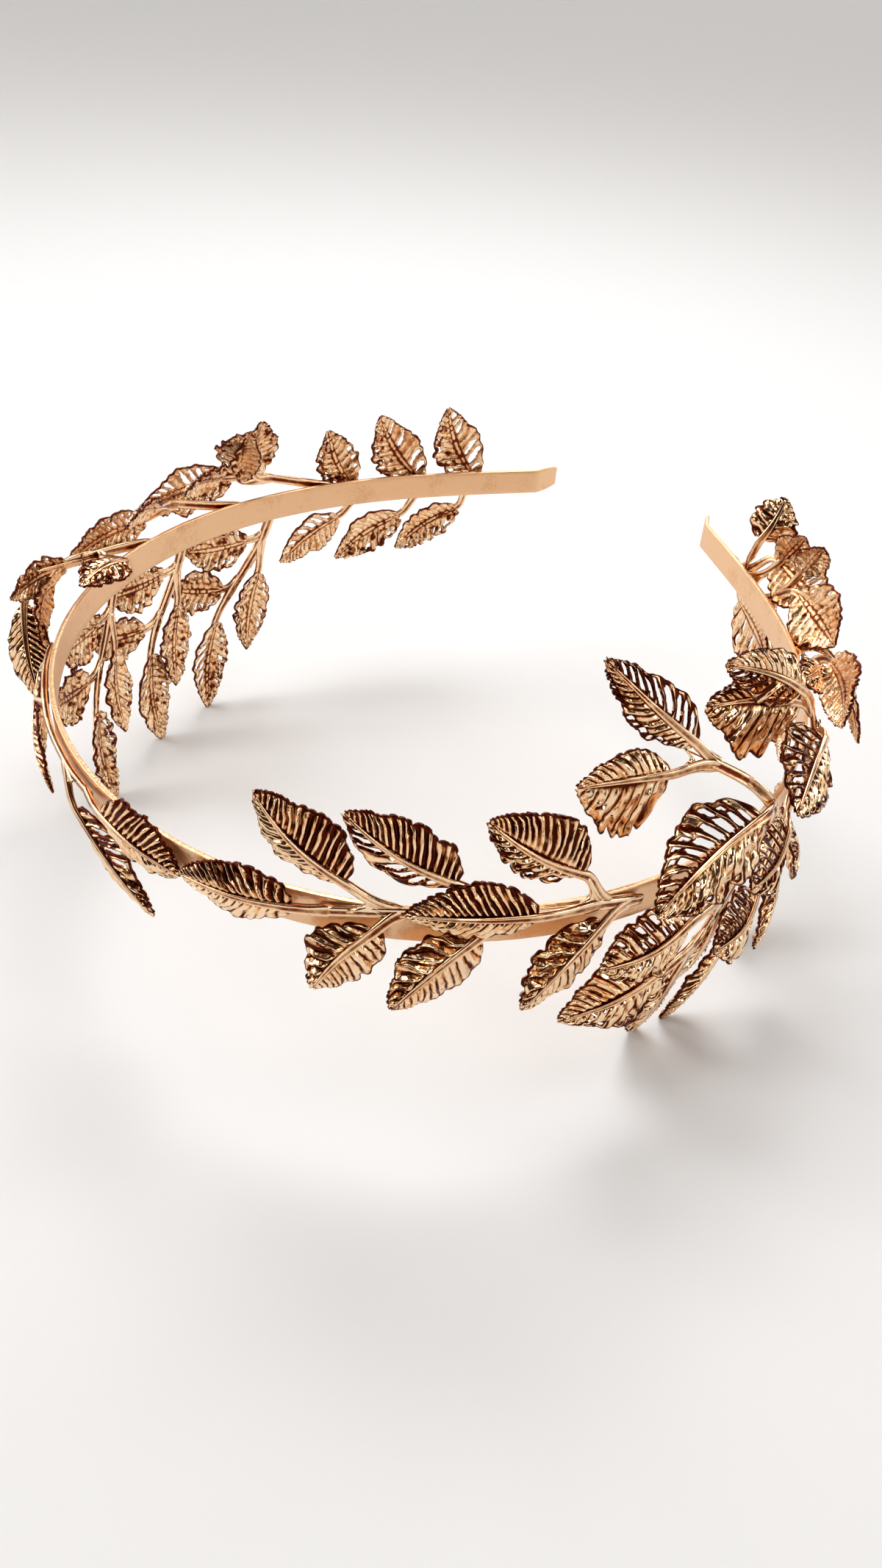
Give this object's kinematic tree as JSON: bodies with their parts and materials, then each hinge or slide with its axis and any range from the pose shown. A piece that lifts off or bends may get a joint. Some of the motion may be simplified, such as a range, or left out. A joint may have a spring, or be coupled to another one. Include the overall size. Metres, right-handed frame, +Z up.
{
  "type": "laurel wreath crown",
  "caption": "Open hoop crown of flat gilt strip with pierced, ribbed laurel leaf sprays soldered along both arms; the head goes in from below.",
  "frame": {"origin": "middle of the outline on the surface that the crown stands on", "axes": "+Z up through the crown, -Y towards the front of the head, +X towards the crown's right arm as drawn"},
  "size_m": [0.1674, 0.1802, 0.0862],
  "materials": {
    "band_metal": "satin rose gold plate",
    "leaf_metal": "bright rose gold plate, darker in the recesses"
  },
  "bodies": {
    "root": {"band": "band_metal", "front_spray_right": "leaf_metal", "front_spray_left": "leaf_metal", "low_spray_right_1": "leaf_metal", "low_spray_right_2": "leaf_metal", "low_spray_right_3": "leaf_metal", "low_spray_left_1": "leaf_metal", "low_spray_left_2": "leaf_metal", "low_spray_left_3": "leaf_metal", "top_spray_right_1": "leaf_metal", "top_spray_right_2": "leaf_metal", "top_spray_right_3": "leaf_metal", "top_spray_left_1": "leaf_metal", "top_spray_left_2": "leaf_metal", "top_spray_left_3": "leaf_metal", "back_spray_right": "leaf_metal", "back_spray_left": "leaf_metal"}
  },
  "joints": []
}
